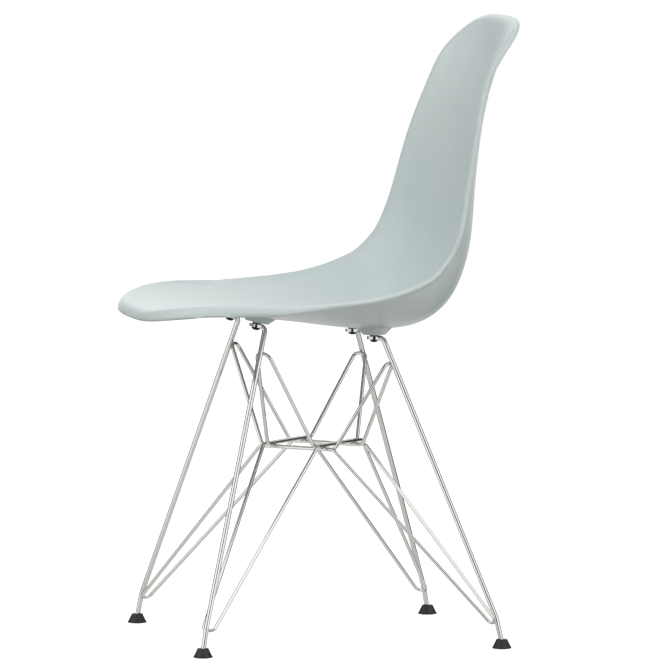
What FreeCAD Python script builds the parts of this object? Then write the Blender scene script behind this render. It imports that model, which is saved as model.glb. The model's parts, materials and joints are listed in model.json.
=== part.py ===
import FreeCAD, Part
import math
import os
from FreeCAD import Vector

os.makedirs("parts", exist_ok=True)

# Frame: millimetres, +Z up, the floor at z = 0, the sitter looks along -Y and the sitter's left is +X.
# The origin is on the floor, in the middle of the chair's box.

# Shell: one moulding of even thickness.
seat_height = 419.0
seat_half_width = 228.0
shell_wall = 4.5
# Sections of the shell's inner face from the front lip to the top of the back. Each has a point on the
# centre line (y, z), the point where its side starts to roll over (x, y, z), and the radius and end angle
# of that roll. Heights are above the seat's lowest point, and x is from the seat's half width.
shell_sections = [
    ((-240.0, 31.5), (-2.0, -240.0, 57.0), 17.0, 80.0),
    ((-170.0, 29.0), (0.0, -170.0, 54.5), 17.0, 78.0),
    ((-100.0, 20.0), (0.0, -98.0, 47.0), 14.5, 65.0),
    ((-30.0, 10.5), (-2.0, -26.0, 48.0), 9.0, 25.0),
    ((30.0, 2.2), (-5.0, 36.0, 54.5), 8.0, 15.0),
    ((75.0, 0.0), (-8.5, 75.0, 65.0), 8.0, 8.0),
    ((115.0, 3.5), (-12.5, 96.0, 73.5), 8.0, 5.0),
    ((146.5, 19.0), (-17.5, 110.0, 82.0), 8.0, 5.0),
    ((166.0, 41.0), (-21.5, 121.0, 94.0), 8.0, 5.0),
    ((178.0, 67.5), (-24.5, 130.0, 105.0), 8.0, 8.0),
    ((187.5, 103.0), (-29.0, 141.5, 127.5), 9.0, 12.0),
    ((194.0, 166.0), (-43.0, 154.5, 175.0), 10.0, 20.0),
    ((202.5, 246.0), (-64.0, 172.0, 253.0), 12.0, 28.0),
    ((219.0, 311.0), (-90.0, 192.0, 323.0), 13.0, 30.0),
    ((233.5, 353.5), (-95.0, 207.5, 361.0), 16.0, 42.0),
    ((248.0, 397.5), (-102.0, 236.5, 399.5), 18.0, 55.0),
]
bowl_power = 2.4
# Rounding of the outline at the front lip and at the top of the back.
front_setback = 41.0
front_setback_fade = 9
front_round = 4
front_cut = 0.286
front_cut_fade = 12.4
top_setback = 9.0
top_setback_fade = 8
top_round = 6
top_cut = 0.20
top_cut_fade = 13.0
# How finely the shell's surfaces are set out.
row_spread = 0.45
rows = 30
columns = 18
roll_steps = 6
edge_steps = 6

# Mounting bosses under the shell, each with a moulded-in metal insert.
boss_bottom = 31.0
boss_flank = 45.0
boss_height = 30.0
boss_edge_round = 1.0
insert_outer = 10.0
insert_length = 7.5
insert_end_gap = 0.5

# Mounting screws, from the head up: washer, flattened leg end, spacer, insert.
screw_shank = 6.0
screw_engagement = 7.0
screw_head = 11.0
screw_head_height = 3.4
screw_head_rim = 1.2
socket_width = 4.0
socket_depth = 2.0
washer_outer = 11.2
washer_thickness = 0.9
tab_outer = 19.0
tab_thickness = 4.0
spacer_outer = 12.0
spacer_thickness = 2.5

# Gaps between pieces that fit together: screws in their holes, moulded or pressed pieces, loose pieces.
screw_gap = 0.3
pressed_gap = 0.15
loose_gap = 0.3

# Legs: bent rod from the flattened end over the ankle to the foot.
leg_rod = 7.0
ankle_height = 40.0
ankle_bend = 30.0
neck_start = 3.5
neck_end = 6.5
neck_width = 15.0
spot_face = 12.6

# Feet: a ball stud pressed up into each leg, and a glide that tilts on the ball. The glide stands on a pad.
ball = 8.4
stud_neck = 5.2
stud_neck_show = 0.1
stud_shank = 4.0
stud_shank_length = 12.0
pad = 21.0
pad_thickness = 1.4
pad_stand_out = 0.5
socket_floor = 0.9
glide_flange = 25.5
glide_flange_height = 2.0
glide_shoulder = 24.0
glide_top = 14.5
glide_height = 12.5
# The socket holds the ball under its throat, which opens into a mouth that lets the leg tilt.
throat_room = 0.9
throat_lip = 0.3
mouth_room = 1.1
mouth_flare = 0.6
mouth_rise = 0.9
mouth_depth = 3.5
ball_height = pad_thickness + socket_floor + loose_gap + ball / 2
rod_above_ball = ball / 2 + stud_neck_show

# Brace loops: each is one closed wire between two legs that are diagonally opposite, with a hairpin at each
# end. The upper loops run down from high on the legs to the ring in the middle, the lower loops run up to it
# from near the feet. The ring is a square turned 45 degrees, with the lower loops outside the upper ones.
brace_rod = 5.0
ring_centre = -6.75
ring_half = 36.0
ring_height = 261.6
strand_gap = 1.0
strand_bend = 9.0
weld_depth = 0.3


class Hairpin:
    """One end of a brace loop: its height and heading on the leg, and where its strands bend at the ring."""

    def __init__(self, height, heading, half_width, radius, reach):
        self.height = height
        self.heading = math.radians(heading)
        self.half_width = half_width
        self.radius = radius
        self.reach = reach


class Corner:
    """One corner of the chair on its left side (+X). The screw's height is from the seat's height, and the
    leg's top corner is so far sideways and back from the screw, in the plane of the flattened end."""

    def __init__(self, screw, tilt, leg_corner, ankle, foot, leg_bend, high_hairpin, low_hairpin):
        x, y, height = screw
        sideways, back = leg_corner
        turn = math.radians(tilt)
        self.screw = Vector(x, y, seat_height + height)
        self.lift = Vector(0, math.sin(turn), math.cos(turn))
        self.leg_corner = self.screw + Vector(sideways, back * math.cos(turn), -back * math.sin(turn))
        self.ankle = Vector(*ankle, ankle_height)
        self.foot = Vector(*foot, ball_height)
        self.leg_bend = leg_bend
        self.high_hairpin = high_hairpin
        self.low_hairpin = low_hairpin


# The screw's place is the middle of the leg's flattened end, and the tilt is that of the screw's axis.
front = Corner(
    screw=(74.5, -102.0, 7.0),
    tilt=13.0,
    leg_corner=(1.42, 12.56),
    ankle=(193.0, -197.8),
    foot=(196.0, -203.5),
    leg_bend=5.9,
    high_hairpin=Hairpin(height=seat_height - 30.3, heading=32.0, half_width=10.6, radius=10.0, reach=56.5),
    low_hairpin=Hairpin(height=35.0, heading=62.6, half_width=7.6, radius=6.5, reach=56.0),
)
rear = Corner(
    screw=(59.3, 63.2, -14.0),
    tilt=0.0,
    leg_corner=(12.85, 9.3),
    ankle=(192.3, 196.8),
    foot=(196.0, 203.5),
    leg_bend=9.0,
    high_hairpin=Hairpin(height=seat_height - 47.4, heading=-46.8, half_width=8.4, radius=8.0, reach=56.5),
    low_hairpin=Hairpin(height=34.0, heading=-48.2, half_width=7.6, radius=7.2, reach=58.0),
)


def graph(places, values):
    """A smooth function through values at the given places."""
    curve = Part.BSplineCurve()
    points = [Vector(place, value, 0) for place, value in zip(places, values)]
    curve.interpolate(Points=points, Parameters=places)
    return lambda place: curve.value(place).y


def spline_patch(grid):
    """A smooth surface through a grid of points, with the same spacing for every row and column."""
    def poles_of(points):
        curve = Part.BSplineCurve()
        curve.interpolate(Points=points, Parameters=[float(i) for i in range(len(points))])
        return curve.getPoles(), curve.getMultiplicities(), curve.getKnots()

    lines = [poles_of(line) for line in grid]
    v_mults = lines[0][1]
    v_knots = lines[0][2]
    crossing = [poles_of(list(points)) for points in zip(*[line[0] for line in lines])]
    u_mults = crossing[0][1]
    u_knots = crossing[0][2]
    net = [list(points) for points in zip(*[line[0] for line in crossing])]
    surface = Part.BSplineSurface()
    surface.buildFromPolesMultsKnots(net, u_mults, v_mults, u_knots, v_knots, False, False, 3, 3)
    return surface.toShape()


class ShellForm:
    """The inner face of the shell, in distance along it, distance across it and height above it."""

    def __init__(self):
        corner = Vector(seat_half_width, 0, seat_height)
        centres = [Vector(0, y, seat_height + height) for (y, height), rim, radius, angle in shell_sections]
        rims = [corner + Vector(*rim) for centre, rim, radius, angle in shell_sections]
        places = [0.0]
        for before, after in zip(centres[:-1], centres[1:]):
            places.append(places[-1] + (after - before).Length)
        self.length = places[-1]
        self.line = Part.BSplineCurve()
        self.line.interpolate(Points=centres, Parameters=places)
        self.width = graph(places, [rim.x for rim in rims])
        self.lean_y = graph(places, [rim.y - centre.y for rim, centre in zip(rims, centres)])
        self.lean_z = graph(places, [rim.z - centre.z for rim, centre in zip(rims, centres)])
        self.roll_radius = graph(places, [section[2] for section in shell_sections])
        self.roll_angle = graph(places, [section[3] for section in shell_sections])

    def inside(self, along):
        return min(max(along, 0.0), self.length)

    def centre(self, along):
        held = self.inside(along)
        point = self.line.value(held)
        if along != held:
            direction = self.line.tangent(held)[0]
            point = point + direction * (along - held)
        return point

    def rise(self, along):
        held = self.inside(along)
        return Vector(0, self.lean_y(held), self.lean_z(held))

    def space(self, along, across, height):
        up = self.rise(along).normalize()
        return self.centre(along) + Vector(across, 0, 0) + up * height

    def wall_height(self, along, across):
        share = abs(across) / self.width(self.inside(along))
        return self.rise(along).Length * share ** bowl_power

    def wall(self, along, across):
        return self.space(along, across, self.wall_height(along, across))

    def wall_normal(self, along, across):
        step = 0.05
        forward = self.wall(along + step, across) - self.wall(along - step, across)
        sideways = self.wall(along, across + step) - self.wall(along, across - step)
        return sideways.cross(forward).normalize()

    def place(self, row, column):
        """Where a grid point lies: row runs from the front to the top, column from side to side."""
        share = row / rows
        side = 2 * column / columns - 1
        along = self.length * (share + row_spread * share * (1 - share))
        half = self.width(along)
        half *= 1 - front_cut * (1 - share) ** front_cut_fade
        half *= 1 - top_cut * share ** top_cut_fade
        along += front_setback * (1 - share) ** front_setback_fade * abs(side) ** front_round
        along -= top_setback * share ** top_setback_fade * abs(side) ** top_round
        return along, side * half


def ring_direction(before, here, after):
    """Direction of a smooth closed line at a point, from its two neighbours."""
    back = here - before
    ahead = after - here
    return (ahead * (back.Length / ahead.Length) + back * (ahead.Length / back.Length)).normalize()


def make_shell_skin():
    """The moulding without its bosses: two walls joined by a rim that rolls over to a round edge."""
    form = ShellForm()
    inner = []
    outer = []
    for row in range(rows + 1):
        spots = [form.place(row, column) for column in range(columns + 1)]
        points = [form.wall(*spot) for spot in spots]
        normals = [form.wall_normal(*spot) for spot in spots]
        inner.append(points)
        outer.append([point - normal * shell_wall for point, normal in zip(points, normals)])

    # The rim runs from the front left corner along the front, up the right side, over the top and back.
    ring = [(0, column) for column in range(columns)]
    ring += [(row, columns) for row in range(rows)]
    ring += [(rows, column) for column in range(columns, 0, -1)]
    ring += [(row, 0) for row in range(rows, 0, -1)]
    count = len(ring)
    plan = [Vector(*form.place(*node), 0) for node in ring]

    def rolled(index, share):
        """A point of the rolled rim, share 0 at the wall and 1 at the edge."""
        here = plan[index]
        course = ring_direction(plan[index - 1], here, plan[(index + 1) % count])
        outward = Vector(-course.y, course.x, 0)
        step = 0.01
        near = form.wall_height(here.x, here.y)
        far = form.wall_height(here.x - outward.x * step, here.y - outward.y * step)
        start = math.atan((near - far) / step)
        held = form.inside(here.x)
        radius = form.roll_radius(held)
        turn = -start + share * (start + math.radians(form.roll_angle(held)))
        reach = radius * (math.sin(start) + math.sin(turn))
        height = near + radius * (math.cos(turn) - math.cos(start))
        return form.space(here.x + outward.x * reach, here.y + outward.y * reach, height)

    rolls = [[rolled(index, step / roll_steps) for index in range(count)] for step in range(roll_steps + 1)]
    insides = []
    undersides = []
    edges = []
    for index in range(count):
        inside = []
        underside = []
        for step in range(roll_steps + 1):
            line = rolls[step]
            point = line[index]
            course = ring_direction(line[index - 1], point, line[(index + 1) % count])
            share = step / roll_steps
            across = (rolled(index, share + 0.01) - rolled(index, share - 0.01)).normalize()
            normal = course.cross(across).normalize()
            if normal.dot(form.wall_normal(plan[index].x, plan[index].y)) < 0:
                normal = normal * -1
            if step == 0:
                normal = form.wall_normal(plan[index].x, plan[index].y)
            inside.append(point)
            underside.append(point - normal * shell_wall)
        insides.append(inside)
        undersides.append(underside)
        middle = (inside[-1] + underside[-1]) * 0.5
        spoke = (inside[-1] - underside[-1]) * 0.5
        edge = []
        for step in range(edge_steps + 1):
            turn = math.pi * step / edge_steps
            edge.append(middle + spoke * math.cos(turn) + across * (spoke.Length * math.sin(turn)))
        edges.append(edge)

    faces = [spline_patch(inner), spline_patch(outer)]
    starts = [0, columns, columns + rows, 2 * columns + rows, count]
    for first, last in zip(starts[:-1], starts[1:]):
        stretch = [index % count for index in range(first, last + 1)]
        for strip in (insides, undersides, edges):
            faces.append(spline_patch([strip[index] for index in stretch]))
    skin = Part.Shell(faces)
    skin.sewShape(0.02)
    solid = Part.Solid(skin)
    if solid.Volume < 0:
        solid.reverse()
    middle = [[(top + low) * 0.5 for top, low in zip(*lines)] for lines in zip(inner, outer)]
    return solid, spline_patch(middle)


def cylinder(diameter, height, base, axis):
    return Part.makeCylinder(diameter / 2, height, base, axis)


def cone(low_diameter, high_diameter, height, base, axis):
    return Part.makeCone(low_diameter / 2, high_diameter / 2, height, base, axis)


def tube(outer, bore, height, base, axis):
    return cylinder(outer, height, base, axis).cut(cylinder(bore, height, base, axis))


def across_x(shape):
    return shape.mirror(Vector(0, 0, 0), Vector(1, 0, 0))


def mirrored(point):
    return Vector(-point.x, point.y, point.z)


def rounded_path(points, radii):
    """A wire of straight lines through the points, with each inner corner rounded to its radius."""
    edges = []
    start = points[0]
    for before, corner, after, radius in zip(points[:-2], points[1:-1], points[2:], radii):
        back = (before - corner).normalize()
        ahead = (after - corner).normalize()
        half = back.getAngle(ahead) / 2
        setback = radius / math.tan(half)
        middle = (back + ahead).normalize()
        centre = corner + middle * (radius / math.sin(half))
        first = corner + back * setback
        last = corner + ahead * setback
        edges.append(Part.makeLine(start, first))
        edges.append(Part.Arc(first, centre - middle * radius, last).toShape())
        start = last
    edges.append(Part.makeLine(start, points[-1]))
    return Part.Wire(edges)


def bent_rod(points, radii, diameter):
    profile = Part.Wire(Part.makeCircle(diameter / 2, points[0], points[1] - points[0]))
    return rounded_path(points, radii).makePipe(Part.Face(profile))


def boss_face(corner):
    """Centre of the bottom face of a mounting boss."""
    return corner.screw + corner.lift * (tab_thickness / 2 + spacer_thickness)


def make_boss(corner, wall_middle):
    """A cone with a flat bottom whose wide end finishes inside the wall of the shell."""
    wide = boss_bottom + 2 * boss_height * math.tan(math.radians(boss_flank))
    body = cone(boss_bottom, wide, boss_height, boss_face(corner), corner.lift)
    bottom_edge = min(body.Edges, key=lambda edge: edge.Length if edge.Closed else 1e9)
    body = body.makeFillet(boss_edge_round, [bottom_edge])
    below = wall_middle.extrude(Vector(0, 0, -2 * boss_height))
    return body.common(below)


def make_seat_shell():
    skin, wall_middle = make_shell_skin()
    bosses = []
    holes = []
    for corner in (front, rear):
        boss = make_boss(corner, wall_middle)
        depth = insert_length + insert_end_gap
        hole = cylinder(insert_outer + 2 * pressed_gap, depth, boss_face(corner), corner.lift)
        bosses += [boss, across_x(boss)]
        holes += [hole, across_x(hole)]
    return skin.fuse(bosses).cut(holes)


def make_insert(corner):
    return tube(insert_outer, screw_shank + 2 * pressed_gap, insert_length, boss_face(corner), corner.lift)


def make_spacer(corner):
    base = corner.screw + corner.lift * (tab_thickness / 2)
    return tube(spacer_outer, screw_shank + 2 * screw_gap, spacer_thickness, base, corner.lift)


def washer_base(corner):
    return corner.screw - corner.lift * (tab_thickness / 2 + washer_thickness)


def make_washer(corner):
    bore = screw_shank + 2 * screw_gap
    return tube(washer_outer, bore, washer_thickness, washer_base(corner), corner.lift)


def make_screw(corner):
    """A screw with a domed head and a hexagon socket, its thread left plain."""
    seat = washer_base(corner)
    down = corner.lift * -1
    dome_rise = screw_head_height - screw_head_rim
    dome_radius = ((screw_head / 2) ** 2 + dome_rise ** 2) / (2 * dome_rise)
    dome = Part.makeSphere(dome_radius, seat + down * (screw_head_height - dome_radius))
    head = cylinder(screw_head, screw_head_height, seat, down).common(dome)
    side = Vector(1, 0, 0)
    front_way = corner.lift.cross(side)
    corners = []
    for turn in range(7):
        angle = math.radians(60 * turn)
        reach = side * math.cos(angle) + front_way * math.sin(angle)
        corners.append(seat + down * screw_head_height + reach * (socket_width / math.sqrt(3)))
    socket = Part.Face(Part.makePolygon(corners)).extrude(corner.lift * socket_depth)
    length = washer_thickness + tab_thickness + spacer_thickness + screw_engagement
    return head.cut(socket).fuse(cylinder(screw_shank, length, seat, corner.lift)).removeSplitter()


def foot_axis(corner):
    return (corner.ankle - corner.foot).normalize()


def make_leg(corner):
    """A bent rod whose top end is flattened into a round tab with a screw hole."""
    way = (corner.leg_corner - corner.screw).normalize()
    rod_end = corner.foot + foot_axis(corner) * rod_above_ball
    start = corner.screw + way * neck_start
    end = corner.screw + way * neck_end
    bends = [corner.leg_bend, ankle_bend]
    rod_body = bent_rod([end, corner.leg_corner, corner.ankle, rod_end], bends, leg_rod)
    side = corner.lift.cross(way)
    radius = leg_rod / 2
    flat = Part.Ellipse(start + side * (neck_width / 2), start + corner.lift * (tab_thickness / 2), start)
    circle = Part.Circle(end + side * radius, end + corner.lift * radius, end - side * radius)
    neck = Part.makeLoft([Part.Wire(flat.toShape()), Part.Wire(circle.toShape())], True)
    under = corner.screw - corner.lift * (tab_thickness / 2)
    over = corner.screw + corner.lift * (tab_thickness / 2)
    tab = cylinder(tab_outer, tab_thickness, under, corner.lift)
    leg = rod_body.fuse(neck).fuse(tab)
    clearance = 2 * leg_rod
    cuts = [
        cylinder(spot_face, clearance, over, corner.lift),
        cylinder(spot_face, clearance, under, corner.lift * -1),
        cylinder(screw_shank + 2 * screw_gap, tab_thickness, under, corner.lift),
        cylinder(stud_shank + 2 * pressed_gap, stud_shank_length + pressed_gap, rod_end, foot_axis(corner)),
    ]
    return leg.cut(cuts)


def leg_at(corner, height):
    """Point and direction of the leg's axis at a height."""
    low, high = (corner.foot, corner.ankle) if height < ankle_height else (corner.ankle, corner.leg_corner)
    direction = high - low
    point = low + direction * ((height - low.z) / direction.z)
    return point, direction.normalize()


def hairpin_corners(corner, place):
    """The two corners of a hairpin that is welded to the inner side of the leg."""
    point, direction = leg_at(corner, place.height)
    across = Vector(math.cos(place.heading), math.sin(place.heading), 0)
    inward = corner.leg_corner - corner.ankle
    inward.z = 0
    inward.normalize()
    sideways = across.cross(direction).normalize()
    reach = ((leg_rod + brace_rod) / 2 - weld_depth) / abs(inward.dot(sideways))
    middle = point + inward * reach
    return middle - across * place.half_width, middle + across * place.half_width


def ring_point(along, across, height):
    diagonal = math.sqrt(0.5)
    return Vector((along + across) * diagonal, ring_centre + (across - along) * diagonal, height)


def make_brace_loop(front_place, rear_place, half, height):
    """A closed wire from a hairpin on the left front leg to one on the right rear leg."""
    front_minus, front_plus = hairpin_corners(front, front_place)
    rear_minus, rear_plus = [mirrored(point) for point in hairpin_corners(rear, rear_place)]
    front_middle = (front_minus + front_plus) * 0.5
    rear_middle = (rear_minus + rear_plus) * 0.5
    radii = [front_place.radius, strand_bend, strand_bend, rear_place.radius]
    sides = []
    for front_end, rear_end, across in ((front_plus, rear_minus, half), (front_minus, rear_plus, -half)):
        near = ring_point(front_place.reach, across, height)
        far = ring_point(-rear_place.reach, across, height)
        points = [front_middle, front_end, near, far, rear_end, rear_middle]
        sides.append(bent_rod(points, radii, brace_rod))
    return sides[0].fuse(sides[1]).removeSplitter()


def make_ball_stud(corner):
    axis = foot_axis(corner)
    sphere = Part.makeSphere(ball / 2, corner.foot)
    neck = cylinder(stud_neck, rod_above_ball, corner.foot, axis)
    shank = cylinder(stud_shank, stud_shank_length, corner.foot + axis * rod_above_ball, axis)
    return sphere.fuse([neck, shank]).removeSplitter()


def make_glide(corner):
    """A foot with a flat flange and a socket that the ball stud snaps into."""
    up = Vector(0, 0, 1)
    base = Vector(corner.foot.x, corner.foot.y, pad_stand_out)
    shoulder = base + up * glide_flange_height
    body = cylinder(glide_flange, glide_flange_height, base, up)
    rise = glide_height - pad_stand_out - glide_flange_height
    body = body.fuse(cone(glide_shoulder, glide_top, rise, shoulder, up))
    axis = foot_axis(corner)
    socket = ball / 2 + loose_gap
    throat = stud_neck + 2 * throat_room
    throat_top = math.sqrt(socket ** 2 - (throat / 2) ** 2) + throat_lip
    mouth = leg_rod + 2 * mouth_room
    recess = mouth + 2 * mouth_flare
    mouth_place = throat_top + mouth_rise
    cuts = [
        Part.makeSphere(socket, corner.foot),
        cylinder(throat, throat_top, corner.foot, axis),
        cone(throat, mouth, mouth_rise, corner.foot + axis * throat_top, axis),
        cone(mouth, recess, mouth_depth, corner.foot + axis * mouth_place, axis),
        cylinder(pad + 2 * pressed_gap, pad_thickness - pad_stand_out, base, up),
    ]
    return body.cut(cuts)


def make_sole_pad(corner):
    return cylinder(pad, pad_thickness, Vector(corner.foot.x, corner.foot.y, 0), Vector(0, 0, 1))


nodes = {"seat_shell": make_seat_shell()}
makers = {
    "insert": make_insert,
    "spacer": make_spacer,
    "washer": make_washer,
    "screw": make_screw,
    "leg": make_leg,
    "ball_stud": make_ball_stud,
    "glide": make_glide,
    "sole_pad": make_sole_pad,
}
for kind, make in makers.items():
    for end, corner in (("front", front), ("rear", rear)):
        shape = make(corner)
        nodes[kind + "_" + end + "_left"] = shape
        nodes[kind + "_" + end + "_right"] = across_x(shape)

# Loops are named after the front leg they hold. Those of the right leg pass under those of the left leg.
under_height = ring_height - brace_rod + weld_depth
outer_half = ring_half + brace_rod + strand_gap
for name, half, front_place, rear_place in (
    ("brace_upper_", ring_half, front.high_hairpin, rear.high_hairpin),
    ("brace_lower_", outer_half, front.low_hairpin, rear.low_hairpin),
):
    nodes[name + "left"] = make_brace_loop(front_place, rear_place, half, ring_height)
    nodes[name + "right"] = across_x(make_brace_loop(front_place, rear_place, half, under_height))

# The shell is the longest piece from front to back, so the chair is centred on it.
box = nodes["seat_shell"].optimalBoundingBox(False, False)
centring = Vector(0, -(box.YMin + box.YMax) / 2, 0)
for name, shape in nodes.items():
    shape.translated(centring).exportStep("parts/" + name + ".step")
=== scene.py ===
import bpy
import json
import math
from collections import Counter
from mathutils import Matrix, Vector
from mathutils.bvhtree import BVHTree
from mathutils.kdtree import KDTree

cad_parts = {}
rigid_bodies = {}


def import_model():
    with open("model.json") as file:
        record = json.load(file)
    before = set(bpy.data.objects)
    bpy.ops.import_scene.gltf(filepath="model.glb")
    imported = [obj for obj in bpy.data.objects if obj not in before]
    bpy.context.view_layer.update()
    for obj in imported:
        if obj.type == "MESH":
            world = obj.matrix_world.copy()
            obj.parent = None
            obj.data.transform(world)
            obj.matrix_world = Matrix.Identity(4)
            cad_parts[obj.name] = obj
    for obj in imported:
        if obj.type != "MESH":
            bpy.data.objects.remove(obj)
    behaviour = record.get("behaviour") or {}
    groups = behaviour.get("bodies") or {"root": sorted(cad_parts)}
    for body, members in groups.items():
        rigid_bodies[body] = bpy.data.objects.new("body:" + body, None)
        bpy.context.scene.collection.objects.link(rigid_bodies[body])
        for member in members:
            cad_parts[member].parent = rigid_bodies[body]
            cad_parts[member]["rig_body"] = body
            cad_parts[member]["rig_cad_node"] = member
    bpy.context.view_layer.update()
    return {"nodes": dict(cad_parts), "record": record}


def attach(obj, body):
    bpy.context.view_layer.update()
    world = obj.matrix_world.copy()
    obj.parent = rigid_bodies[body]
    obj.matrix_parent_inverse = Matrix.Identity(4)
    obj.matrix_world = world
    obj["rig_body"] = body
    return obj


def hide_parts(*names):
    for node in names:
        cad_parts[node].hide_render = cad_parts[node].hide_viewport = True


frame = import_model()
nodes = frame["nodes"]

MILLIMETRE = 0.001

# The photograph's camera: far away with a long lens, at the chair's left side and a little
# towards its front.
CAMERA_TARGET = Vector((0.0, 0.01851, 0.4069))
CAMERA_DISTANCE = 12.1705
CAMERA_AZIMUTH = math.radians(76.005)
CAMERA_ELEVATION = math.radians(5.153)
CAMERA_REACH = 200.0
SENSOR_WIDTH = 36.0
FOCAL_LENGTH = 491.5

# The shell's copy: corners this near are joined, and it is shaded smoothly up to this angle.
MERGE_DISTANCE = 0.002 * MILLIMETRE
SHELL_SMOOTH_ANGLE = math.radians(40)

# The shell's round edge, found in its CAD mesh. A corner is on the edge if more plastic than this
# lies behind it. The bosses under the seat are thick too, so the corners this near the middle, up
# to this height, are left out.
EDGE_THICKNESS = 6.5 * MILLIMETRE
PROBE_START = 0.3 * MILLIMETRE
BOSS_AREA = Vector((0.135, 0.17, 0.47))

# The rim line, where the wall turns over into the rim. It follows the mesh's seams that face the
# sitter and lie this deep in from the edge. Of the seams near each other, the deepest is kept.
SITTER_SIDE = Vector((0.0, -0.7, 0.7))
SITTER_SIDE_LEAST = 0.05
RIM_DEPTH_LOW = 5 * MILLIMETRE
RIM_DEPTH_HIGH = 30 * MILLIMETRE
RIM_NEIGHBOUR = 14 * MILLIMETRE
RIM_DEPTH_STEP = 2.0 * MILLIMETRE

# The low ridge that is raised along the rim line, on the side of the wall that faces as it does.
RIM_LINE_HEIGHT = 1.1 * MILLIMETRE
RIM_LINE_WIDTH = 7.5 * MILLIMETRE
SAME_SIDE_LEAST = 0.3
# Corners this near the line are its crest, which is sharp where the ridge has this share of height.
CREST_DISTANCE = 0.01 * MILLIMETRE
CREST_SHARE = 0.2
# The ridge fades out between these places at the front lip and at the top of the back.
RIM_LINE_FRONT = (-0.200, -0.150)
RIM_LINE_TOP = (0.800, 0.770)

# Welds: how near two wires are where they touch, how far one touching place reaches, and the bead.
CONTACT_GAP = 0.5 * MILLIMETRE
CONTACT_SPREAD = 12 * MILLIMETRE
BEAD_RADIUS = 2.7 * MILLIMETRE
BEAD_RIPPLE = 0.5 * MILLIMETRE

# Nearly all values of the noise texture lie between these.
NOISE_LOW = 0.3
NOISE_HIGH = 0.7

# The studio that glossy surfaces mirror, by heading: 0 and 1 look along -X, 0.25 along -Y and
# 0.5 along +X. A white backdrop stands behind the chair, with dark flags on both sides of it,
# and another dark flag stands behind the camera.
WALL_STOPS = [
    (0.0, "#FFFFFF"),
    (0.012, "#FFFFFF"),
    (0.02, "#303030"),
    (0.155, "#404040"),
    (0.19, "#E8E8E8"),
    (0.30, "#FFFFFF"),
    (0.395, "#F4F4F4"),
    (0.41, "#303030"),
    (0.51, "#303030"),
    (0.525, "#FFFFFF"),
    (0.66, "#F0F0F0"),
    (0.73, "#C8C8C8"),
    (0.76, "#404040"),
    (0.902, "#303030"),
    (0.91, "#FFFFFF"),
    (1.0, "#FFFFFF"),
]
# How much of the white ceiling is mirrored, by height, from straight down to straight up.
CEILING_STOPS = [(0.0, "#000000"), (0.80, "#000000"), (0.90, "#FFFFFF"), (1.0, "#FFFFFF")]
# How bright the walls are in mirrors, and how bright the plain white is that lights the chair.
WALL_LIGHT = 1.25
AMBIENT_LIGHT = 0.42

# The floor, with the extra light that only the camera sees. Mirrors see a pale floor near the
# chair, which turns into the colours of the walls between these distances from the middle.
FLOOR_SIZE = 14.0
FLOOR_COLOUR = "#B6B6AE"
FLOOR_GLOW = 0.9
MIRRORED_FLOOR_COLOUR = "#D4D4D2"
MIRRORED_FLOOR_LIGHT = 1.0
MIRRORED_FLOOR_FADE = (0.5, 0.9)

# Each lamp's name, place, size in metres and power in watts. All are turned to one place.
LAMPS = [
    ("key", (-0.4, -2.8, 3.0), 2.0, 100),
    ("side_fill", (3.0, 0.8, 2.4), 1.6, 30),
    ("back_fill", (2.2, 2.8, 0.7), 1.5, 50),
]
LAMP_AIM = (0.0, 0.0, 0.5)


def linear(hex_colour):
    """An sRGB hex colour as linear red, green, blue and alpha."""
    channels = [int(hex_colour[start:start + 2], 16) / 255 for start in (1, 3, 5)]
    return [c / 12.92 if c <= 0.04045 else ((c + 0.055) / 1.055) ** 2.4 for c in channels] + [1.0]


def set_stops(ramp, stops):
    """Sets a colour ramp by stops that each give a value and a hex colour."""
    ramp.elements[0].position = stops[0][0]
    ramp.elements[0].color = linear(stops[0][1])
    ramp.elements[1].position = stops[-1][0]
    ramp.elements[1].color = linear(stops[-1][1])
    for position, colour in stops[1:-1]:
        ramp.elements.new(position).color = linear(colour)


def add(tree, kind, sockets=None, stops=None, **settings):
    """Adds a node with its settings, and the stops of its colour ramp if it has one. Each socket
    gets a value, or another node's output to read."""
    node = tree.nodes.new(kind)
    for name, value in settings.items():
        setattr(node, name, value)
    if stops:
        set_stops(node.color_ramp, stops)
    for name, value in (sockets or {}).items():
        if isinstance(value, bpy.types.NodeSocket):
            tree.links.new(value, node.inputs[name])
        else:
            node.inputs[name].default_value = value
    return node


def new_material(name):
    """An empty node material, its tree and the object's own coordinates."""
    material = bpy.data.materials.new(name)
    material.use_nodes = True
    tree = material.node_tree
    tree.nodes.clear()
    place = add(tree, "ShaderNodeTexCoord").outputs["Object"]
    return material, tree, place


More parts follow.
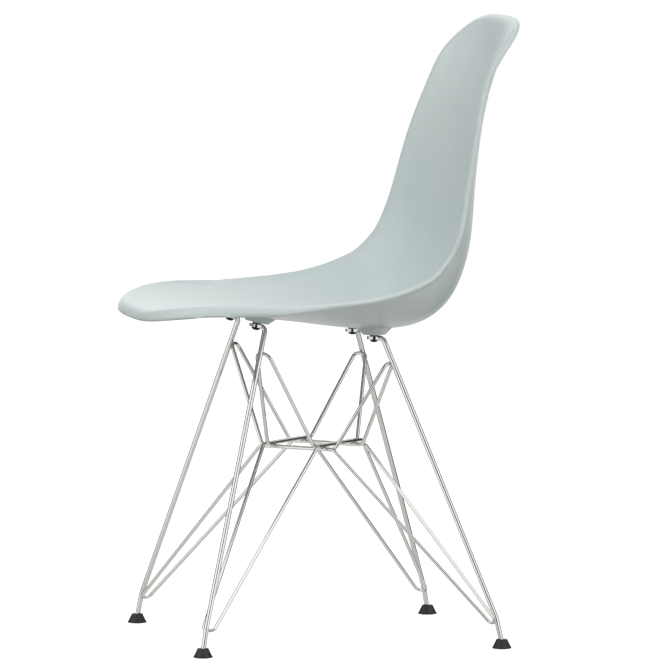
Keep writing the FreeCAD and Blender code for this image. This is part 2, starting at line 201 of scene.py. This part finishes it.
def moulded_polypropylene():
    """Injection moulded polypropylene in pale ice grey, with the fine matt grain of an eroded
    mould. The grain breaks the gloss into a soft satin sheen, and the resin's flow leaves the
    colour a little uneven."""
    material, tree, place = new_material("moulded_polypropylene")
    flow = add(tree, "ShaderNodeTexNoise", {
        "Vector": place,
        "Scale": 1 / (90 * MILLIMETRE),
    })
    # The real grain is about 0.2 mm. It is drawn at 0.8 mm so that it shows up close.
    grain = add(tree, "ShaderNodeTexNoise", {
        "Vector": place,
        "Scale": 1 / (0.8 * MILLIMETRE),
        "Detail": 3.0,
    })
    colour = add(
        tree,
        "ShaderNodeValToRGB",
        {"Fac": flow.outputs["Fac"]},
        stops=[(NOISE_LOW, "#BAC5C5"), (NOISE_HIGH, "#BEC8C8")],
    )
    gloss = add(tree, "ShaderNodeMapRange", {
        "Value": grain.outputs["Fac"],
        "From Min": NOISE_LOW,
        "From Max": NOISE_HIGH,
        "To Min": 0.28,
        "To Max": 0.34,
    })
    relief = add(tree, "ShaderNodeBump", {
        "Height": grain.outputs["Fac"],
        "Distance": 0.012 * MILLIMETRE,
    })
    shader = add(tree, "ShaderNodeBsdfPrincipled", {
        "Base Color": colour.outputs["Color"],
        "Roughness": gloss.outputs["Result"],
        "IOR": 1.49,
        "Normal": relief.outputs["Normal"],
    })
    add(tree, "ShaderNodeOutputMaterial", {"Surface": shader.outputs["BSDF"]})
    return material


def chrome_plate():
    """Bright chrome over nickel on drawn steel rod: a mirror with a slight orange peel and hazy
    patches."""
    material, tree, place = new_material("chrome_plate")
    haze = add(tree, "ShaderNodeTexNoise", {
        "Vector": place,
        "Scale": 1 / (14 * MILLIMETRE),
        "Detail": 4.0,
    })
    peel = add(tree, "ShaderNodeTexNoise", {
        "Vector": place,
        "Scale": 1 / (2.5 * MILLIMETRE),
    })
    gloss = add(tree, "ShaderNodeMapRange", {
        "Value": haze.outputs["Fac"],
        "From Min": NOISE_LOW,
        "From Max": NOISE_HIGH,
        "To Min": 0.05,
        "To Max": 0.12,
    })
    relief = add(tree, "ShaderNodeBump", {
        "Height": peel.outputs["Fac"],
        "Distance": 0.004 * MILLIMETRE,
    })
    shader = add(tree, "ShaderNodeBsdfPrincipled", {
        "Base Color": linear("#E3E3E1"),
        "Metallic": 1.0,
        "Roughness": gloss.outputs["Result"],
        "Normal": relief.outputs["Normal"],
    })
    add(tree, "ShaderNodeOutputMaterial", {"Surface": shader.outputs["BSDF"]})
    return material


def black_zinc():
    """Zinc plated steel passivated black, as on furniture screws: dark, with a dull oily gloss."""
    material, tree, place = new_material("black_zinc")
    patches = add(tree, "ShaderNodeTexNoise", {
        "Vector": place,
        "Scale": 1 / (2.0 * MILLIMETRE),
        "Detail": 3.0,
    })
    colour = add(
        tree,
        "ShaderNodeValToRGB",
        {"Fac": patches.outputs["Fac"]},
        stops=[(NOISE_LOW, "#1C1C1D"), (NOISE_HIGH, "#2A2A2B")],
    )
    gloss = add(tree, "ShaderNodeMapRange", {
        "Value": patches.outputs["Fac"],
        "From Min": NOISE_LOW,
        "From Max": NOISE_HIGH,
        "To Min": 0.32,
        "To Max": 0.45,
    })
    shader = add(tree, "ShaderNodeBsdfPrincipled", {
        "Base Color": colour.outputs["Color"],
        "Metallic": 0.6,
        "Roughness": gloss.outputs["Result"],
    })
    add(tree, "ShaderNodeOutputMaterial", {"Surface": shader.outputs["BSDF"]})
    return material


def moulded_polyamide(name, dark, light, smoothest, roughest):
    """Injection moulded polyamide for feet and spacers: an even colour with a fine matt grain."""
    material, tree, place = new_material(name)
    # The real grain is about 0.2 mm. It is drawn at 0.7 mm so that it shows up close.
    grain = add(tree, "ShaderNodeTexNoise", {
        "Vector": place,
        "Scale": 1 / (0.7 * MILLIMETRE),
        "Detail": 3.0,
    })
    colour = add(
        tree,
        "ShaderNodeValToRGB",
        {"Fac": grain.outputs["Fac"]},
        stops=[(NOISE_LOW, dark), (NOISE_HIGH, light)],
    )
    gloss = add(tree, "ShaderNodeMapRange", {
        "Value": grain.outputs["Fac"],
        "From Min": NOISE_LOW,
        "From Max": NOISE_HIGH,
        "To Min": smoothest,
        "To Max": roughest,
    })
    relief = add(tree, "ShaderNodeBump", {
        "Height": grain.outputs["Fac"],
        "Distance": 0.02 * MILLIMETRE,
    })
    shader = add(tree, "ShaderNodeBsdfPrincipled", {
        "Base Color": colour.outputs["Color"],
        "Roughness": gloss.outputs["Result"],
        "IOR": 1.53,
        "Normal": relief.outputs["Normal"],
    })
    add(tree, "ShaderNodeOutputMaterial", {"Surface": shader.outputs["BSDF"]})
    return material


def turned_metal(name, dark, light):
    """Metal turned on a lathe: fine tool marks soften the reflections."""
    material, tree, place = new_material(name)
    # The real marks are about 0.1 mm apart. They are drawn at 0.6 mm so that they show up close.
    marks = add(tree, "ShaderNodeTexNoise", {
        "Vector": place,
        "Scale": 1 / (0.6 * MILLIMETRE),
    })
    colour = add(
        tree,
        "ShaderNodeValToRGB",
        {"Fac": marks.outputs["Fac"]},
        stops=[(NOISE_LOW, dark), (NOISE_HIGH, light)],
    )
    gloss = add(tree, "ShaderNodeMapRange", {
        "Value": marks.outputs["Fac"],
        "From Min": NOISE_LOW,
        "From Max": NOISE_HIGH,
        "To Min": 0.22,
        "To Max": 0.34,
    })
    shader = add(tree, "ShaderNodeBsdfPrincipled", {
        "Base Color": colour.outputs["Color"],
        "Metallic": 1.0,
        "Roughness": gloss.outputs["Result"],
    })
    add(tree, "ShaderNodeOutputMaterial", {"Surface": shader.outputs["BSDF"]})
    return material


def select_only(piece):
    """Selects one piece and makes it the active one."""
    bpy.ops.object.select_all(action="DESELECT")
    piece.select_set(True)
    bpy.context.view_layer.objects.active = piece


def smooth_copy(node, name, angle):
    """A copy of a CAD node with its triangles joined, shaded smoothly up to an angle."""
    piece = node.copy()
    piece.data = node.data.copy()
    piece.parent = None
    piece.name = name
    bpy.context.scene.collection.objects.link(piece)
    # The frame's own marks come off, because the copy is a new piece and not a CAD node.
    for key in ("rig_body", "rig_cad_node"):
        del piece[key]
    select_only(piece)
    bpy.ops.object.mode_set(mode="EDIT")
    bpy.ops.mesh.select_all(action="SELECT")
    bpy.ops.mesh.remove_doubles(threshold=MERGE_DISTANCE)
    bpy.ops.object.mode_set(mode="OBJECT")
    bpy.ops.object.shade_smooth_by_angle(angle=angle)
    return piece


def paint(piece, material):
    """Gives a piece one material all over."""
    piece.data.materials.clear()
    piece.data.materials.append(material)


def search_tree(places):
    """A tree that finds the nearest of some places."""
    tree = KDTree(len(places))
    for index, place in enumerate(places):
        tree.insert(place, index)
    tree.balance()
    return tree


def rim_line(node):
    """Places and normals on the line where the shell's wall turns over into its rim."""
    mesh = node.data
    places = [corner.co for corner in mesh.vertices]
    shell_wall = BVHTree.FromPolygons(places, [face.vertices for face in mesh.polygons])
    # An edge of only one triangle is a seam, because each CAD face has corners of its own.
    uses = Counter(key for face in mesh.polygons for key in face.edge_keys)
    seams = {index for key, count in uses.items() if count == 1 for index in key}

    def on_edge(corner):
        start = corner.co - corner.normal * PROBE_START
        thickness = shell_wall.ray_cast(start, -corner.normal)[3]
        place = corner.co
        beside_boss = abs(place.x) < BOSS_AREA.x and abs(place.y) < BOSS_AREA.y
        in_boss = beside_boss and place.z < BOSS_AREA.z
        return not in_boss and (thickness is None or thickness > EDGE_THICKNESS)

    edge = search_tree([corner.co for corner in mesh.vertices if on_edge(corner)])
    held = []
    for corner in [mesh.vertices[index] for index in sorted(seams)]:
        if corner.normal.dot(SITTER_SIDE) > SITTER_SIDE_LEAST:
            depth = edge.find(corner.co)[2]
            if RIM_DEPTH_LOW < depth < RIM_DEPTH_HIGH:
                held.append((corner, depth))
    near = search_tree([corner.co for corner, depth in held])
    line = []
    for corner, depth in held:
        around = near.find_range(corner.co, RIM_NEIGHBOUR)
        if all(held[index][1] < depth + RIM_DEPTH_STEP for place, index, distance in around):
            line.append((corner.co.copy(), corner.normal.copy()))
    return line


def share_between(value, start, end):
    """How far a value has come from start to end, from 0 to 1."""
    return min(max((value - start) / (end - start), 0.0), 1.0)


def raise_rim_line(piece, line):
    """Turns the soft start of the rim's roll into a fine crisp line, as on the real moulding."""
    tree = search_tree([place for place, normal in line])
    crest = set()
    shifts = []
    for corner in piece.data.vertices:
        place, index, distance = tree.find(corner.co)
        normal = line[index][1]
        if distance > RIM_LINE_WIDTH or corner.normal.dot(normal) < SAME_SIDE_LEAST:
            continue
        share = share_between(place.y, *RIM_LINE_FRONT) * share_between(place.z, *RIM_LINE_TOP)
        if distance < CREST_DISTANCE and share > CREST_SHARE:
            crest.add(corner.index)
        height = RIM_LINE_HEIGHT * share * (1 - distance / RIM_LINE_WIDTH)
        shifts.append((corner, normal * height))
    # The corners move only now, because a change to the mesh makes it work out its normals again.
    for corner, shift in shifts:
        corner.co += shift
    for edge in piece.data.edges:
        if edge.vertices[0] in crest and edge.vertices[1] in crest:
            edge.use_edge_sharp = True


def contact_points(first, second):
    """The middles of the places where two CAD nodes touch."""
    tree = search_tree([corner.co for corner in first.data.vertices])
    groups = []
    for corner in second.data.vertices:
        if tree.find(corner.co)[2] > CONTACT_GAP:
            continue
        for group in groups:
            if (group[0] - corner.co).length < CONTACT_SPREAD:
                group.append(corner.co)
                break
        else:
            groups.append([corner.co])
    return [sum(group, Vector()) / len(group) for group in groups]


def build_weld_beads():
    """The small chromed beads of weld that join the braces to the legs and to each other."""
    spots = []
    for first, second in frame["record"]["behaviour"]["press_fits"]:
        spots += contact_points(nodes[first], nodes[second])
    beads = []
    for number, spot in enumerate(spots):
        bpy.ops.object.select_all(action="DESELECT")
        bpy.ops.mesh.primitive_ico_sphere_add(subdivisions=3, radius=BEAD_RADIUS, location=spot)
        beads.append(bpy.context.object)
        bpy.ops.object.mode_set(mode="EDIT")
        bpy.ops.mesh.select_all(action="SELECT")
        bpy.ops.transform.vertex_random(offset=BEAD_RIPPLE, uniform=0.0, normal=1.0, seed=number)
        bpy.ops.mesh.vertices_smooth(factor=0.5, repeat=2)
        bpy.ops.object.mode_set(mode="OBJECT")
    for bead in beads:
        bead.select_set(True)
    bpy.context.view_layer.objects.active = beads[0]
    bpy.ops.object.join()
    bpy.ops.object.transform_apply(location=True, rotation=True, scale=True)
    bpy.ops.object.shade_smooth()
    piece = bpy.context.object
    piece.name = "weld_beads"
    return piece


def build_camera():
    """The camera at the photograph's viewing angle."""
    sideways = math.cos(CAMERA_ELEVATION)
    back = Vector((
        math.sin(CAMERA_AZIMUTH) * sideways,
        -math.cos(CAMERA_AZIMUTH) * sideways,
        math.sin(CAMERA_ELEVATION),
    ))
    data = bpy.data.cameras.new("camera")
    data.sensor_width = SENSOR_WIDTH
    data.lens = FOCAL_LENGTH
    data.clip_end = CAMERA_REACH
    camera = bpy.data.objects.new("camera", data)
    camera.location = CAMERA_TARGET + back * CAMERA_DISTANCE
    camera.rotation_euler = back.to_track_quat("Z", "Y").to_euler()
    bpy.context.scene.collection.objects.link(camera)
    bpy.context.scene.camera = camera


def softbox(name, place, size, power):
    """A square area lamp at a place, turned towards the chair. Mirrors don't show it."""
    data = bpy.data.lights.new(name, "AREA")
    data.size = size
    data.energy = power
    lamp = bpy.data.objects.new(name, data)
    lamp.location = place
    lamp.rotation_euler = (Vector(place) - Vector(LAMP_AIM)).to_track_quat("Z", "Y").to_euler()
    bpy.context.scene.collection.objects.link(lamp)
    lamp.visible_glossy = False


def mirrored_walls(tree, direction):
    """The colour of the studio's walls in mirrors, by the heading of a direction or a place."""
    parts = add(tree, "ShaderNodeSeparateXYZ", {"Vector": direction}).outputs
    heading = add(tree, "ShaderNodeMath", {0: parts["Y"], 1: parts["X"]}, operation="ARCTAN2")
    turn = add(tree, "ShaderNodeMapRange", {
        "Value": heading.outputs[0],
        "From Min": -math.pi,
        "From Max": math.pi,
    })
    walls = add(tree, "ShaderNodeValToRGB", {"Fac": turn.outputs["Result"]}, stops=WALL_STOPS)
    return walls.outputs["Color"]


def build_floor():
    """A plain floor that keeps the chair's shadow. The camera sees it lifted to white. Mirrors see
    it pale near the chair and in the walls' colours further out, as if the walls stood there."""
    bpy.ops.object.select_all(action="DESELECT")
    bpy.ops.mesh.primitive_plane_add(size=FLOOR_SIZE, location=(0, 0, 0))
    floor = bpy.context.object
    floor.name = "floor"
    material, tree, place = new_material("white_floor")
    path = add(tree, "ShaderNodeLightPath")
    diffuse = add(tree, "ShaderNodeBsdfDiffuse", {"Color": linear(FLOOR_COLOUR)})
    strength = add(
        tree,
        "ShaderNodeMath",
        {0: path.outputs["Is Camera Ray"], 1: FLOOR_GLOW},
        operation="MULTIPLY",
    )
    glow = add(tree, "ShaderNodeEmission", {
        "Color": linear("#FFFFFF"),
        "Strength": strength.outputs[0],
    })
    seen = add(tree, "ShaderNodeAddShader", {0: diffuse.outputs[0], 1: glow.outputs[0]})
    distance = add(tree, "ShaderNodeVectorMath", {0: place}, operation="LENGTH").outputs["Value"]
    away = add(tree, "ShaderNodeMapRange", {
        "Value": distance,
        "From Min": MIRRORED_FLOOR_FADE[0],
        "From Max": MIRRORED_FLOOR_FADE[1],
    })
    mixed = add(tree, "ShaderNodeMixRGB", {
        "Fac": away.outputs["Result"],
        "Color1": linear(MIRRORED_FLOOR_COLOUR),
        "Color2": mirrored_walls(tree, place),
    })
    mirrored = add(tree, "ShaderNodeEmission", {
        "Color": mixed.outputs[0],
        "Strength": MIRRORED_FLOOR_LIGHT,
    })
    both = add(tree, "ShaderNodeMixShader", {
        0: path.outputs["Is Glossy Ray"],
        1: seen.outputs[0],
        2: mirrored.outputs[0],
    })
    add(tree, "ShaderNodeOutputMaterial", {"Surface": both.outputs[0]})
    paint(floor, material)


def build_world():
    """A white studio. The camera sees plain white, and mirrors see walls with dark flags under a
    white ceiling. All else is lit by an even white."""
    world = bpy.data.worlds.new("studio")
    bpy.context.scene.world = world
    world.use_nodes = True
    tree = world.node_tree
    tree.nodes.clear()
    direction = add(tree, "ShaderNodeTexCoord").outputs["Generated"]
    height = add(tree, "ShaderNodeSeparateXYZ", {"Vector": direction}).outputs["Z"]
    level = add(tree, "ShaderNodeMapRange", {"Value": height, "From Min": -1.0, "From Max": 1.0})
    ceiling = add(tree, "ShaderNodeValToRGB", {"Fac": level.outputs["Result"]}, stops=CEILING_STOPS)
    room = add(
        tree,
        "ShaderNodeMixRGB",
        {
            "Fac": 1.0,
            "Color1": mirrored_walls(tree, direction),
            "Color2": ceiling.outputs["Color"],
        },
        blend_type="LIGHTEN",
    )
    mirrored = add(tree, "ShaderNodeBackground", {
        "Color": room.outputs[0],
        "Strength": WALL_LIGHT,
    })
    plain = add(tree, "ShaderNodeBackground", {
        "Color": linear("#FFFFFF"),
        "Strength": AMBIENT_LIGHT,
    })
    seen = add(tree, "ShaderNodeBackground", {"Color": linear("#FFFFFF"), "Strength": 1.0})
    path = add(tree, "ShaderNodeLightPath")
    lit = add(tree, "ShaderNodeMixShader", {
        0: path.outputs["Is Glossy Ray"],
        1: plain.outputs[0],
        2: mirrored.outputs[0],
    })
    shown = add(tree, "ShaderNodeMixShader", {
        0: path.outputs["Is Camera Ray"],
        1: lit.outputs[0],
        2: seen.outputs[0],
    })
    add(tree, "ShaderNodeOutputWorld", {"Surface": shown.outputs[0]})


finishes = {
    "chrome_wire": chrome_plate(),
    "screw_black": black_zinc(),
    "spacer_plastic": moulded_polyamide("grey_polyamide", "#8E9494", "#979D9D", 0.42, 0.52),
    "insert_brass": turned_metal("turned_brass", "#B5944F", "#C7A660"),
    "stud_steel": turned_metal("turned_steel", "#9A9A9A", "#ABABAA"),
    "glide_plastic": moulded_polyamide("black_polyamide", "#19191A", "#222223", 0.45, 0.55),
    "sole_nylon": moulded_polyamide("dark_polyamide", "#232323", "#2C2C2C", 0.6, 0.7),
}
for part in frame["record"]["subparts"]:
    if part["material_slot"] in finishes:
        paint(nodes[part["node"]], finishes[part["material_slot"]])

shell = smooth_copy(nodes["seat_shell"], "shell_moulding", SHELL_SMOOTH_ANGLE)
raise_rim_line(shell, rim_line(nodes["seat_shell"]))
paint(shell, moulded_polypropylene())
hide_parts("seat_shell")
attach(shell, "chair_frame")

beads = build_weld_beads()
paint(beads, finishes["chrome_wire"])
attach(beads, "chair_frame")

bpy.context.scene.view_settings.view_transform = "Standard"
build_camera()
build_floor()
build_world()
for name, place, size, power in LAMPS:
    softbox(name, place, size, power)
